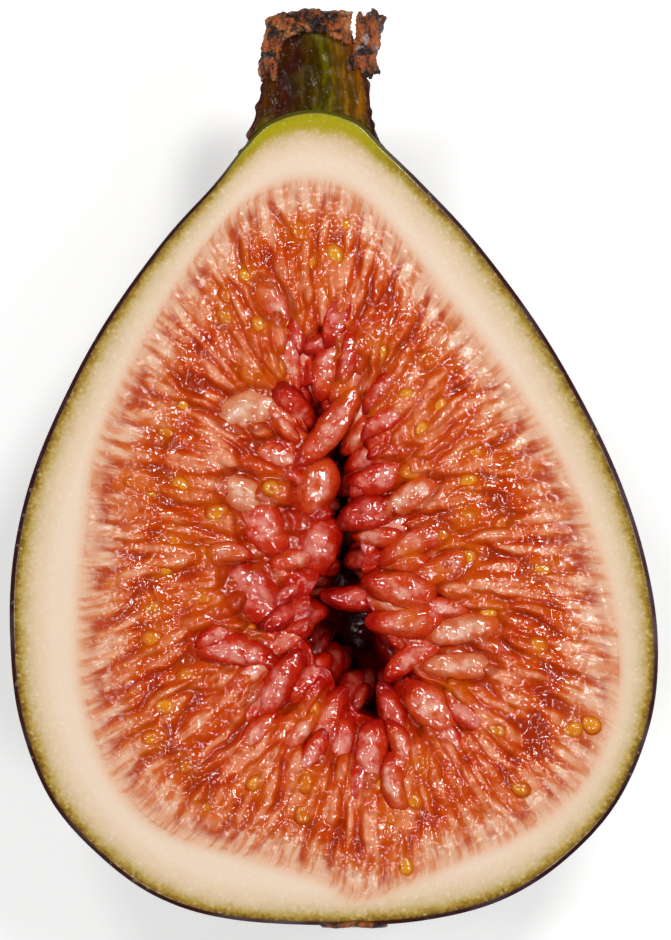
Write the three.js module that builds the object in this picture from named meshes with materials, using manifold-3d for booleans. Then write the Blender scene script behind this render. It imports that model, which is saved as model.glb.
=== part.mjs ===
// Half of a fresh fig, cut lengthwise and lying on its skin with the cut face up.
// Millimetres, +Z up. +X runs across the fruit, +Y from the eye at its base to the stalk.
// The origin is on the flat spot that the half rests on, below its weight.
import * as THREE from 'three';
import { mergeVertices } from 'three/addons/utils/BufferGeometryUtils.js';
import Module from 'manifold-3d';

const wasm = await Module();
wasm.setup();

// Heights. The fruit is a little shallower than half its width, and the spot it rests on is pressed flat.
const CUT_HEIGHT = 22.3;
const DEPTH_SHARE = 0.96;
const CLEARANCE = 0.3;
const WALL_BELOW_SHARE = 0.9;

// Edges of the cut face, from the eye up to the stalk: [left edge, station, right edge].
const FRUIT_STATIONS = [
  [0.6, -25.6, 0.6],
  [-7.3, -25.2, 6.9],
  [-12.7, -23.7, 12.5],
  [-17.1, -20.7, 17.2],
  [-21.0, -16.3, 21.1],
  [-23.3, -10.4, 23.5],
  [-24.0, -4.4, 24.0],
  [-23.8, 1.5, 23.1],
  [-22.5, 7.4, 21.2],
  [-20.1, 13.3, 18.4],
  [-16.9, 19.2, 14.9],
  [-12.6, 25.2, 10.4],
  [-8.9, 29.3, 6.6],
  [-6.6, 32.2, 3.6],
  [-4.6, 34.1, 1.6],
  [-1.6, 34.9, -1.4],
];
const PULP_STATIONS = [
  [2.1, -23.3, 2.1],
  [-0.8, -21.8, 6.0],
  [-6.4, -20.1, 9.6],
  [-12.2, -18.3, 13.8],
  [-15.9, -14.6, 18.2],
  [-18.0, -9.0, 20.5],
  [-18.4, -3.5, 20.5],
  [-18.0, 3.0, 18.8],
  [-17.2, 9.2, 16.0],
  [-14.8, 15.4, 12.0],
  [-11.4, 21.6, 7.2],
  [-8.0, 26.2, 3.6],
  [-5.0, 28.4, 1.0],
  [-2.1, 29.1, -1.9],
];
const HOLLOW_STATIONS = [
  [2.6, -10.9, 2.8],
  [-0.2, -8.6, 5.8],
  [-2.6, -5.2, 4.8],
  [-2.4, -1.6, 3.4],
  [-1.6, 2.4, 2.7],
  [-1.2, 6.4, 2.3],
  [-2.0, 10.4, 1.2],
  [-2.9, 13.8, -0.6],
  [-2.3, 15.8, -1.7],
];
const STALK_STATIONS = [
  [-7.2, 31.2, 4.4],
  [-6.5, 32.4, 3.5],
  [-5.9, 34.2, 2.8],
  [-5.4, 36.2, 2.6],
  [-4.9, 38.2, 2.1],
  [-4.5, 39.8, 1.6],
  [-3.6, 40.9, 1.0],
];

// Florets. Narrow strands run in from the wall, and swell to lobes round the hollow in the middle.
const STRANDS = 42;
const STRAND_RINGS = 8;
const STRAND_HEIGHT = 0.5;
const HOLLOW_RINGS = [
  { width: 0, depth: 9.5 },
  { width: 0.4, depth: 9.0 },
  { width: 0.7, depth: 6.4 },
  { width: 0.92, depth: 3.2 },
];

// Lobes that stand out by the hollow: [x, y, heading of the tip in degrees, length, width, lift].
const SHOWN_LOBES = [
  [-5.9, 12.8, 15, 4.6, 2.7, 0.2],
  [-0.6, 10.6, -128, 6.0, 2.3, 0.2],
  [-1.3, 6.6, -112, 4.4, 3.1, -0.5],
  [-1.2, 2.4, -95, 3.8, 3.5, -1.0],
  [-4.9, 3.3, -58, 4.2, 3.4, -0.1],
  [-5.4, -1.2, -50, 4.4, 3.8, -0.6],
  [-6.2, 6.2, -30, 3.6, 2.7, 0.2],
  [2.7, 7.3, 200, 3.0, 2.4, -0.1],
  [2.1, 4.8, 190, 3.3, 2.7, -0.2],
  [5.1, 5.8, 215, 4.0, 2.1, 0.2],
  [5.4, 2.6, 205, 4.2, 2.2, 0.2],
  [7.4, 0.6, 203, 3.8, 2.0, 0.2],
  [4.6, -0.6, 170, 4.4, 2.8, 0.2],
  [5.1, -3.1, 184, 5.0, 2.6, 0.1],
  [1.7, -1.5, 186, 5.6, 1.8, -0.7],
  [9.0, -3.8, 190, 4.4, 2.4, 0.2],
  [8.6, -6.3, 180, 4.4, 2.1, 0.1],
  [5.3, -5.9, 212, 3.8, 2.0, -0.2],
  [6.8, -9.2, 140, 3.8, 3.2, 0.1],
  [4.1, -9.3, 110, 3.4, 2.2, -0.5],
  [2.7, -12.2, 85, 3.3, 2.7, 0.1],
  [-0.4, -9.9, 72, 4.4, 2.3, 0.0],
  [-3.8, -7.2, 55, 5.0, 2.8, 0.1],
  [-6.6, -5.3, -12, 4.8, 2.7, 0.2],
  [0.6, 14.1, 240, 3.2, 2.5, 0.1],
  [-4.1, 20.2, -50, 2.7, 2.2, 0.1],
  [-1.0, 17.5, 200, 2.7, 1.7, 0.1],
];
const RIM_LOBES = 14;
const WALL_LOBES = 8;

// Seeds seen near the surface: [x, y]. They point roughly at the hollow.
const SHOWN_SEEDS = [
  [-2.6, 25.8], [0.8, 26.1], [0.1, 24.1], [-1.8, 23.5], [-0.8, 21.8], [-6.5, 22.5],
  [-5.5, 21.2], [-8.0, 21.0], [-8.0, 19.5], [-6.3, 15.3], [3.5, 16.9], [1.0, 14.2],
  [5.2, 13.6], [7.7, 12.9], [6.4, 11.2], [10.3, 9.4], [12.7, 8.7], [5.7, 8.1],
  [9.9, 7.2], [9.8, 4.6], [12.5, 4.2], [5.6, 2.0], [9.9, 1.7], [7.9, 0.6],
  [15.3, 0.7], [11.5, -2.3], [5.5, -2.8], [-11.2, 12.8], [-15.0, 7.3], [-13.4, 6.7],
  [-11.3, 6.9], [-8.7, 5.0], [-4.5, 6.7], [-9.6, 2.0], [-13.4, -2.1], [-9.7, -1.3],
  [-13.4, -4.3], [-10.9, -7.0], [-13.6, -11.7], [-12.5, -9.4], [-9.3, -16.8], [-1.6, -9.8],
  [-2.1, -15.0], [15.1, -4.8], [17.6, -11.1], [19.0, -10.7], [13.8, -15.4], [12.0, -11.1],
  [5.9, -16.3], [8.9, -8.0], [5.3, -21.1], [6.4, -13.6],
];
const SCATTERED_SEEDS = 12;
const SEED = { length: 1.8, width: 1.45, height: 1.2, lift: 0.15, taper: 0.1, columns: 4, rings: 3 };
const SEED_TRIALS = 400;
const SEED_SPACING = 2.3;

// Skin. The back has shallow ribs from the eye to the stalk, and small scales close the eye.
const RIBS = 32;
const RIB_DEPTH = 0.008;
const EYE = { x: 1.5, y: -25.5, scales: 7, reaches: [0.9, 1.5] };
const EYE_SCALE = { length: 3.2, thickness: 1.0, width: 1.7 };

// Dry scales round the stalk, each from one angle to another and from one station to another.
const STALK_X = -1.4;
const DRY_SCALES = {
  dry_scale_left: { from: 178, to: 222, low: 37.6, high: 40.6, gap: 0.55, thick: 0.7 },
  dry_scale_back: { from: 232, to: 300, low: 38.0, high: 40.9, gap: 0.55, thick: 0.7 },
  dry_scale_right: { from: 310, to: 362, low: 37.6, high: 41.6, gap: 0.75, thick: 1.2 },
};
const SCALE_CRUMPLE = 0.22;
const SCALE_TEAR = 0.35;
const SCALE_FLARE = 0.5;
const CRUST = { left: -4.6, right: 1.1, y: 41.35, thick: 0.65, depth: 2.9, arch: 0.45, crumple: 0.16 };

// A seeded draw from 0 to 1, the same in every run.
let drawState = 2026;
function draw(low = 0, high = 1) {
  drawState = (Math.imul(drawState, 1664525) + 1013904223) >>> 0;
  return low + (high - low) * (drawState / 4294967296);
}

// A smooth run through stations. getPoint(share) gives left edge, station and right edge as x, y and z.
function runThrough(stations) {
  const points = stations.map((station) => new THREE.Vector3(...station));
  return new THREE.CatmullRomCurve3(points, false, 'catmullrom', 0.5);
}

// The closed edge of a run of stations on the cut face: up the right side and down the left.
function edgeLoop(stations) {
  const right = stations.map(([, y, x]) => new THREE.Vector3(x, y, 0));
  const left = stations.slice(1, -1).map(([x, y]) => new THREE.Vector3(x, y, 0)).reverse();
  const loop = new THREE.CatmullRomCurve3([...right, ...left], true, 'catmullrom', 0.5);
  loop.arcLengthDivisions = 600;
  return loop;
}

// A closed surface on a sphere's mesh. place(around, ring) gives each vertex of each ring.
function wrapped(columns, rings, place) {
  const sphere = new THREE.SphereGeometry(1, columns, rings);
  const { position, uv } = sphere.attributes;
  for (let i = 0; i < position.count; i++) {
    const ring = Math.round((1 - uv.getY(i)) * rings);
    const around = (Math.round(uv.getX(i) * columns) % columns) / columns;
    position.setXYZ(i, ...place(ring % rings ? around : 0, ring));
  }
  return sphere;
}

// A three.js geometry as a solid, with its faces turned outwards.
function solid(geometry) {
  const bare = geometry.clone();
  bare.deleteAttribute('normal');
  bare.deleteAttribute('uv');
  const { index, attributes } = mergeVertices(bare, 1e-4);
  const corners = Uint32Array.from(index.array);
  const build = () => new wasm.Manifold(
    new wasm.Mesh({ numProp: 3, vertProperties: attributes.position.array, triVerts: corners }),
  );
  const made = build();
  if (made.volume() > 0) return made;
  for (let i = 0; i < corners.length; i += 3) {
    [corners[i + 1], corners[i + 2]] = [corners[i + 2], corners[i + 1]];
  }
  return build();
}

// A solid as a named three.js mesh with flat faces.
function meshOf(name, made, material) {
  const { vertProperties, triVerts } = made.getMesh();
  const geometry = new THREE.BufferGeometry();
  geometry.setAttribute('position', new THREE.BufferAttribute(vertProperties, 3));
  geometry.setIndex(new THREE.BufferAttribute(triVerts, 1));
  geometry.computeVertexNormals();
  const mesh = new THREE.Mesh(geometry, material);
  mesh.name = name;
  return mesh;
}

// A box between two heights, wide enough to trim the whole fruit.
function slab(bottom, top) {
  const reach = 160;
  const box = new THREE.BoxGeometry(reach, reach, top - bottom);
  return solid(box.translate(0, 0, (top + bottom) / 2));
}

// A pear-shaped solid with oval sections, wider than its stations by grow all round.
function pear(stations, columns, rings, depthShare, grow = 0, ribs = 0) {
  const run = runThrough(stations);
  const middle = stations[Math.floor(stations.length / 2)][1];
  return solid(wrapped(columns, rings, (around, ring) => {
    const { x: left, y, z: right } = run.getPoint(ring / rings);
    const angle = around * 2 * Math.PI;
    const fade = Math.sin((ring / rings) * Math.PI);
    const groove = 1 - (ribs ? RIB_DEPTH * fade * (1 - Math.cos(ribs * angle)) : 0);
    const halfWidth = (right - left) / 2 + grow * fade ** 0.2;
    const stretch = 1 + grow / 26;
    return [
      (left + right) / 2 + halfWidth * Math.cos(angle) * groove,
      middle + (y - middle) * stretch,
      CUT_HEIGHT + halfWidth * depthShare * Math.sin(angle) * groove,
    ];
  }));
}

// A lobe or seed: an egg with its narrow end along its heading, which may dip below the level.
function egg({ x, y, lift, heading, dip = 0, length, width, height, taper = 0.3, columns = 7, rings = 4 }) {
  const shape = wrapped(columns, rings, (around, ring) => {
    const polar = (ring / rings) * Math.PI;
    const along = Math.cos(polar);
    const girth = Math.sin(polar) * (1 - taper * along);
    const angle = around * 2 * Math.PI;
    return [
      (length / 2) * along,
      (width / 2) * girth * Math.cos(angle),
      (height / 2) * girth * Math.sin(angle),
    ];
  });
  shape.rotateY(THREE.MathUtils.degToRad(dip));
  shape.rotateZ(THREE.MathUtils.degToRad(heading));
  return solid(shape.translate(x, y, CUT_HEIGHT + lift));
}

// Places on the cut face between the pulp's edge and the rim of the hollow, at 0 and 1 inward.
const pulpEdge = edgeLoop(PULP_STATIONS);
const hollowRim = edgeLoop(HOLLOW_STATIONS);
function onPulp(around, inward) {
  return pulpEdge.getPointAt(around).lerp(hollowRim.getPointAt(around), inward);
}
function headingInward(around, inward) {
  const step = onPulp(around, inward + 0.01).sub(onPulp(around, inward));
  return THREE.MathUtils.radToDeg(Math.atan2(step.y, step.x));
}

// The wall: skin and pale flesh, grown as one, with the chamber of the pulp and the scales of the eye.
function makeWall() {
  const fruit = pear(FRUIT_STATIONS, 2 * RIBS, 24, DEPTH_SHARE, 0, RIBS);
  const chamber = pear(PULP_STATIONS, 36, 20, WALL_BELOW_SHARE, CLEARANCE);
  let wall = fruit;
  for (let i = 0; i < EYE.scales; i++) {
    const turn = Math.PI * (1 + (i + 0.5) / EYE.scales);
    const reach = EYE.reaches[i % EYE.reaches.length];
    const scale = new THREE.SphereGeometry(0.5, 6, 4);
    scale.scale(EYE_SCALE.length, EYE_SCALE.thickness, EYE_SCALE.width);
    scale.rotateY(-turn);
    scale.translate(EYE.x + reach * Math.cos(turn), EYE.y, CUT_HEIGHT + reach * Math.sin(turn));
    wall = wall.add(solid(scale));
  }
  return wall.intersect(slab(0, CUT_HEIGHT)).subtract(chamber);
}

// The bed of strands, open to the hollow in the middle and trimmed later to the chamber.
function makeStrandBed() {
  const columns = 2 * STRANDS;
  const hollowCount = HOLLOW_RINGS.length;
  const rings = hollowCount + STRAND_RINGS + 2;
  const highs = Array.from({ length: columns }, () => draw(0.5, 1));
  const middle = new THREE.Vector3(0.2, 2, 0);
  return solid(wrapped(columns, rings, (around, ring) => {
    const column = Math.round(around * columns);
    if (ring < hollowCount) {
      const { width, depth } = HOLLOW_RINGS[ring];
      const spot = hollowRim.getPointAt(around).sub(middle).multiplyScalar(width).add(middle);
      return [spot.x, spot.y, CUT_HEIGHT - depth];
    }
    const inward = 1 - (1.04 * (ring - hollowCount)) / STRAND_RINGS;
    const spot = onPulp(around, inward);
    if (ring > hollowCount + STRAND_RINGS) {
      return ring === rings ? [0, 0, -CUT_HEIGHT] : [spot.x, spot.y, -2];
    }
    const swell = Math.sin(Math.PI * THREE.MathUtils.clamp(inward, 0, 1)) ** 0.6;
    const ridge = (column % 2 ? -0.7 : 1) * highs[(column + 7 * ring) % columns];
    const dishing = 1.1 * Math.max(0, inward - 0.75) * 4;
    return [spot.x, spot.y, CUT_HEIGHT + STRAND_HEIGHT * ridge * swell - dishing];
  }));
}

// Lobes set round the hollow by rule: one row on its rim and one down its walls.
function ruledLobes() {
  const lobes = [];
  for (let i = 0; i < RIM_LOBES; i++) {
    const around = (i + draw(0.2, 0.8)) / RIM_LOBES;
    const { x, y } = onPulp(around, 0.93);
    const heading = headingInward(around, 0.9) + draw(-14, 14);
    lobes.push({ x, y, heading, dip: 24, length: draw(3.2, 4.2), width: draw(1.8, 2.4), lift: -0.9 });
  }
  for (let i = 0; i < WALL_LOBES; i++) {
    const around = (i + draw(0.1, 0.9)) / WALL_LOBES;
    const { x, y } = onPulp(around, 1.06);
    const heading = headingInward(around, 0.9) + draw(-20, 20);
    lobes.push({ x, y, heading, dip: 45, length: draw(3.0, 4.0), width: draw(1.8, 2.4), lift: draw(-5, -3) });
  }
  return lobes;
}

// Seeds scattered by rule over the strands, clear of those already placed.
function scatteredSeeds() {
  const placed = SHOWN_SEEDS.map(([x, y]) => new THREE.Vector3(x, y, 0));
  const added = [];
  for (let i = 0; i < SEED_TRIALS && added.length < SCATTERED_SEEDS; i++) {
    const spot = onPulp(draw(), draw(0.12, 0.72));
    const crowded = [...placed, ...added].some((other) => other.distanceTo(spot) < SEED_SPACING);
    const lobed = SHOWN_LOBES.some(([x, y]) => Math.hypot(x - spot.x, y - spot.y) < SEED_SPACING);
    if (!crowded && !lobed) added.push(spot);
  }
  return [...placed, ...added];
}

// The pulp: strands, lobes and seeds in one body, trimmed to the chamber in the wall.
function makePulp() {
  let pulp = makeStrandBed();
  for (const [x, y, heading, length, width, lift] of SHOWN_LOBES) {
    pulp = pulp.add(egg({ x, y, heading, dip: 8, length, width, height: width * 0.8, lift: lift - 0.1 }));
  }
  for (const lobe of ruledLobes()) {
    pulp = pulp.add(egg({ ...lobe, height: lobe.width }));
  }
  for (const { x, y } of scatteredSeeds()) {
    const heading = THREE.MathUtils.radToDeg(Math.atan2(1 - 0.6 * y, -x)) + draw(-25, 25);
    pulp = pulp.add(egg({ ...SEED, x, y, heading }));
  }
  return pulp.intersect(pear(PULP_STATIONS, 36, 20, WALL_BELOW_SHARE));
}

// The stalk, cut lengthwise with the fruit and broken off short.
function makeStalk() {
  const run = runThrough(STALK_STATIONS);
  const rings = 14;
  const whole = solid(wrapped(20, rings, (around, ring) => {
    const share = THREE.MathUtils.clamp((ring - 1) / (rings - 2), 0, 1);
    const { x: left, y, z: right } = run.getPoint(share);
    const halfWidth = ring % rings ? (right - left) / 2 : 0;
    const angle = around * 2 * Math.PI;
    const furrow = 1 - 0.03 * (1 - Math.cos(5 * angle)) * share;
    return [
      (left + right) / 2 + halfWidth * furrow * Math.cos(angle),
      y,
      CUT_HEIGHT + halfWidth * furrow * Math.sin(angle),
    ];
  }));
  const fruit = pear(FRUIT_STATIONS, 40, 30, DEPTH_SHARE, CLEARANCE);
  return whole.intersect(slab(0, CUT_HEIGHT - 0.1)).subtract(fruit);
}

// A plate of unit size, bent by place(across, along, outer), each from 0 to 1.
function bentPlate(columns, rows, place) {
  const plate = new THREE.BoxGeometry(1, 1, 1, columns, rows, 1).translate(0.5, 0.5, 0.5);
  const { position } = plate.attributes;
  for (let i = 0; i < position.count; i++) {
    position.setXYZ(i, ...place(position.getX(i), position.getY(i), position.getZ(i)));
  }
  return solid(plate);
}

// A dry scale: a crumpled plate round the stalk, torn along its ends and flared at the top.
function makeDryScale({ from, to, low, high, gap, thick }) {
  const widest = STALK_STATIONS[3];
  const stalkHalf = (widest[2] - widest[0]) / 2;
  return bentPlate(8, 4, (across, along, outer) => {
    const angle = THREE.MathUtils.degToRad(THREE.MathUtils.lerp(from, to, across));
    const tear = SCALE_TEAR * (Math.sin(11 * across + from) + 0.6 * Math.sin(27 * across));
    const crumple = SCALE_CRUMPLE * (Math.sin(17 * across + 5 * along) + 0.7 * Math.sin(13 * along + from));
    const y = THREE.MathUtils.lerp(low, high, along) + tear * (along - 0.45) * 2;
    const taper = 0.14 * (y - widest[1]);
    const reach = stalkHalf - taper + gap + crumple + outer * thick + SCALE_FLARE * along ** 2;
    return [STALK_X + reach * Math.cos(angle), y, CUT_HEIGHT + reach * Math.sin(angle)];
  });
}

// The crust over the broken end of the stalk: a crumpled cap, arched across and rounded below.
function makeEndCrust() {
  return bentPlate(12, 5, (across, down, outer) => {
    const arch = CRUST.arch * (Math.sin(Math.PI * across) - (1 - across) ** 3);
    const crumple = CRUST.crumple * (Math.sin(21 * across) + 0.9 * Math.sin(15 * down + 6 * across));
    const depth = CRUST.depth * Math.sqrt(Math.max(0.05, 1 - (2 * across - 1) ** 2));
    return [
      THREE.MathUtils.lerp(CRUST.left, CRUST.right, across),
      CRUST.y + arch + crumple + outer * CRUST.thick,
      CUT_HEIGHT + CRUST.crumple * (1 - Math.cos(19 * across)) - down * depth,
    ];
  });
}

// Colours as they look on the real fruit.
const finish = (color, roughness) => new THREE.MeshStandardMaterial({ color, roughness, metalness: 0 });
const fleshFinish = finish(0xe6cfa6, 0.45);
const pulpFinish = finish(0xb5381c, 0.2);
const stalkFinish = finish(0x5a5210, 0.35);
const scaleFinish = finish(0x7a3f17, 0.8);

const fig = new THREE.Group();
fig.add(meshOf('fruit_wall', makeWall(), fleshFinish));
fig.add(meshOf('floret_pulp', makePulp(), pulpFinish));
fig.add(meshOf('stalk', makeStalk(), stalkFinish));
for (const [name, shape] of Object.entries(DRY_SCALES)) {
  fig.add(meshOf(name, makeDryScale(shape), scaleFinish));
}
fig.add(meshOf('stalk_end_crust', makeEndCrust(), scaleFinish));

export default fig;
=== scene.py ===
"""Half of a fresh fig, cut lengthwise, lying on its skin with the cut face up. Lengths are in metres."""

import math
import random

import bmesh
import bpy
import numpy as np
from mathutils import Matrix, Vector


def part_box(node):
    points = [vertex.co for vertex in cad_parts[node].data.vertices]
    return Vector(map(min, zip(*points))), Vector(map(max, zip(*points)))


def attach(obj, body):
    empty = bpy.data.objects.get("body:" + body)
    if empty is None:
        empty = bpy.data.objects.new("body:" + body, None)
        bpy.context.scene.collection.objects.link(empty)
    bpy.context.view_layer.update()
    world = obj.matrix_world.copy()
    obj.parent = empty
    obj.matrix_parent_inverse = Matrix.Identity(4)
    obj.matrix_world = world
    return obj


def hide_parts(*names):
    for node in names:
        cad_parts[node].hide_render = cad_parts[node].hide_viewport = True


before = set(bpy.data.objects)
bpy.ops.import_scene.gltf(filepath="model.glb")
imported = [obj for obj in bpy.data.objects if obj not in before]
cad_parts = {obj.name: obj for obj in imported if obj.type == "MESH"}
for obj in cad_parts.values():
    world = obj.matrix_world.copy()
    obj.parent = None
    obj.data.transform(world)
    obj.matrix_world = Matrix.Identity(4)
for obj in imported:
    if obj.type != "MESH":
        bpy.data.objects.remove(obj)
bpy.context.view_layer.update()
MM = 0.001


# Camera
# The photograph looks straight down on the cut face from well above, with the stalk at the top,
# so the cut face fills the frame and none of the skin side shows.
CUT_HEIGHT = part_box("fruit_wall")[1].z
PHOTO_WIDTH_PX = 671
PHOTO_HEIGHT_PX = 940
ORIGIN_PX = (334, 580)
PIXEL = 0.07407 * MM
CAMERA_ABOVE_CUT = 0.45
SENSOR = 36.0


def put_in_scene(name, data):
    """A new object in the scene that holds this camera, light or mesh."""
    thing = bpy.data.objects.new(name, data)
    bpy.context.scene.collection.objects.link(thing)
    return thing


camera = bpy.data.cameras.new("camera")
camera.sensor_width = SENSOR
camera.lens = SENSOR * CAMERA_ABOVE_CUT / (PHOTO_HEIGHT_PX * PIXEL)
camera.clip_end = 10
camera_object = put_in_scene("camera", camera)
camera_object.location = (
    (PHOTO_WIDTH_PX / 2 - ORIGIN_PX[0]) * PIXEL,
    (ORIGIN_PX[1] - PHOTO_HEIGHT_PX / 2) * PIXEL,
    CUT_HEIGHT + CAMERA_ABOVE_CUT,
)
bpy.context.scene.camera = camera_object
bpy.context.scene.view_settings.view_transform = "Standard"


# Lights
# A studio table: a ring of small lamps, the brightest of them up and to the right, puts the fine
# glints on the wet pulp, and weak soft boxes and a dim room fill the shadows.
# Each kind's reach, rise and size are in metres, and its powers in watts by the heading of each light.
LIGHT_RINGS = {
    "softbox": {
        "reach": 0.42,
        "rise": 0.50,
        "size": 0.26,
        "powers": {50: 0.22, 140: 0.12, 220: 0.1, 315: 0.16},
    },
    "lamp": {
        "reach": 0.20,
        "rise": 0.38,
        "size": 0.055,
        "powers": {15: 0.23, 60: 0.48, 120: 0.25, 180: 0.18, 240: 0.18, 310: 0.25},
    },
}
ROOM_BRIGHTNESS = 0.07


def from_screen(red, green, blue):
    """A colour as a screen shows it, from 0 to 255, as the linear colour that a shader takes."""
    linear = []
    for part in (red, green, blue):
        share = part / 255
        linear.append(share / 12.92 if share <= 0.04045 else ((share + 0.055) / 1.055) ** 2.4)
    return (*linear, 1.0)


def soft_light(name, place, size, power):
    """A square light at place, aimed at the middle of the cut face."""
    lamp = bpy.data.lights.new(name, "AREA")
    lamp.size = size
    lamp.energy = power
    lamp_object = put_in_scene(name, lamp)
    lamp_object.location = place
    aim = Vector((0, 0, CUT_HEIGHT)) - Vector(place)
    lamp_object.rotation_euler = aim.to_track_quat("-Z", "Y").to_euler()


for kind, ring in LIGHT_RINGS.items():
    for turn, power in ring["powers"].items():
        angle = math.radians(turn)
        place = (ring["reach"] * math.cos(angle), ring["reach"] * math.sin(angle), ring["rise"])
        soft_light(f"{kind}_{turn}", place, ring["size"], power)

room = bpy.data.worlds.new("white_room")
room.use_nodes = True
room.node_tree.nodes["Background"].inputs["Color"].default_value = (1, 1, 1, 1)
room.node_tree.nodes["Background"].inputs["Strength"].default_value = ROOM_BRIGHTNESS
bpy.context.scene.world = room


# Floor
# A plain matt white table top, not part of the fig. It glows a little, as a light table does, so
# that it stays white round the soft shadow.
FLOOR_REACH = 1.5
FLOOR_COLOUR = from_screen(246, 246, 245)
FLOOR_GLOW = 0.36


def new_material(name):
    """A new material, its node tree and its shader."""
    material = bpy.data.materials.new(name)
    material.use_nodes = True
    tree = material.node_tree
    shader = tree.nodes["Principled BSDF"]
    return material, tree, shader


def join_up(tree, node, joins):
    """A node's inputs set to values, or joined to the sockets that feed them."""
    for socket, source in joins.items():
        if isinstance(source, bpy.types.NodeSocket):
            tree.links.new(source, node.inputs[socket])
        else:
            node.inputs[socket].default_value = source


def mesh_of(name, bm):
    """The mesh that a bmesh has built. The bmesh is freed."""
    mesh = bpy.data.meshes.new(name)
    bm.to_mesh(mesh)
    bm.free()
    return mesh


floor_bm = bmesh.new()
bmesh.ops.create_grid(floor_bm, x_segments=1, y_segments=1, size=FLOOR_REACH)
floor_mesh = mesh_of("floor", floor_bm)
floor = put_in_scene("floor", floor_mesh)
floor_material, floor_tree, floor_shader = new_material("white_table")
floor_finish = {
    "Base Color": FLOOR_COLOUR,
    "Roughness": 0.9,
    "Specular IOR Level": 0.1,
    "Emission Color": (1, 1, 1, 1),
    "Emission Strength": FLOOR_GLOW,
}
join_up(floor_tree, floor_shader, floor_finish)
floor_mesh.materials.append(floor_material)


# Skin and flesh
# A fig is an inside-out flower bed: a thin purple-brown skin, then a pale wall of flesh. The knife
# went through both, so the cut face shows skin, a green band, cream flesh and pinker flesh inside.
# The fruit's edge and the pulp's, in mm: (left, y, right) from the eye to the stalk.
FRUIT_STATIONS = [
    (0.6, -25.6, 0.6),
    (-7.3, -25.2, 6.9),
    (-12.7, -23.7, 12.5),
    (-17.1, -20.7, 17.2),
    (-21.0, -16.3, 21.1),
    (-23.3, -10.4, 23.5),
    (-24.0, -4.4, 24.0),
    (-23.8, 1.5, 23.1),
    (-22.5, 7.4, 21.2),
    (-20.1, 13.3, 18.4),
    (-16.9, 19.2, 14.9),
    (-12.6, 25.2, 10.4),
    (-8.9, 29.3, 6.6),
    (-6.6, 32.2, 3.6),
    (-4.6, 34.1, 1.6),
    (-1.6, 34.9, -1.4),
]
PULP_STATIONS = [
    (2.1, -23.3, 2.1),
    (-0.8, -21.8, 6.0),
    (-6.4, -20.1, 9.6),
    (-12.2, -18.3, 13.8),
    (-15.9, -14.6, 18.2),
    (-18.0, -9.0, 20.5),
    (-18.4, -3.5, 20.5),
    (-18.0, 3.0, 18.8),
    (-17.2, 9.2, 16.0),
    (-14.8, 15.4, 12.0),
    (-11.4, 21.6, 7.2),
    (-8.0, 26.2, 3.6),
    (-5.0, 28.4, 1.0),
    (-2.1, 29.1, -1.9),
]
CUT_MM = CUT_HEIGHT / MM
DEPTH_SHARE = 0.96
RIBS = 32
RIB_DEPTH = 0.008
EDGE_WIDTH = 0.45
EDGE_DROP = 0.22
NECK_FROM = 28
NECK_TO = 33.5
AWAY_FROM_PULP = 9.0
WALL_COLUMNS = 720
CUT_ROWS = 34
SKIN_ROWS = 60
MIDDLE = np.array([0.0, -2.0])


def smooth_line(corners, steps, closed):
    """Points on a smooth line through the corners, steps of them between each two."""
    corners = np.array(corners, float)
    if closed:
        before, start, end, after = (np.roll(corners, -shift, axis=0) for shift in (-1, 0, 1, 2))
    else:
        first = 2 * corners[:1] - corners[1:2]
        last = 2 * corners[-1:] - corners[-2:-1]
        padded = np.vstack([first, corners, last])
        before, start, end, after = padded[:-3], padded[1:-2], padded[2:-1], padded[3:]
    share = np.linspace(0, 1, steps, endpoint=False)[:, None, None]
    line = 0.5 * (
        2 * start
        + (end - before) * share
        + (2 * before - 5 * start + 4 * end - after) * share**2
        + (3 * start - before - 3 * end + after) * share**3
    )
    line = line.transpose(1, 0, 2).reshape(-1, corners.shape[1])
    return line if closed else np.vstack([line, corners[-1:]])


class Edge:
    """A closed edge on the cut face, in millimetres, from the eye up the right side and down the left."""

    def __init__(self, stations):
        right = [(x, y) for _, y, x in stations]
        left = [(x, y) for x, y, _ in stations[1:-1]]
        line = smooth_line(right + left[::-1], 40, closed=True)
        self.line = np.vstack([line, line[:1]])
        run = np.hypot(*np.diff(self.line, axis=0).T)
        self.share = np.concatenate([[0], np.cumsum(run)]) / run.sum()
        self.length = run.sum()

    def at(self, around):
        """The points at these shares of the way round."""
        around = np.mod(around, 1)
        return np.stack([np.interp(around, self.share, self.line[:, k]) for k in (0, 1)], axis=-1)


def ripple(x, y, size, seed, layers=14):
    """Smooth unevenness from -1 to 1 over places x and y, with swells about size across."""
    rng = random.Random(seed)
    total = np.zeros_like(x)
    for _ in range(layers):
        turn = rng.uniform(0, math.tau)
        pitch = math.tau / size * rng.uniform(0.6, 1.6)
        total += np.sin((x * math.cos(turn) + y * math.sin(turn)) * pitch + rng.uniform(0, math.tau))
    return total / math.sqrt(layers) * 0.8


def blend_in(value, start, end):
    """0 before start and 1 after end, with a soft change between them."""
    share = np.clip((value - start) / (end - start), 0, 1)
    return share * share * (3 - 2 * share)


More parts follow.
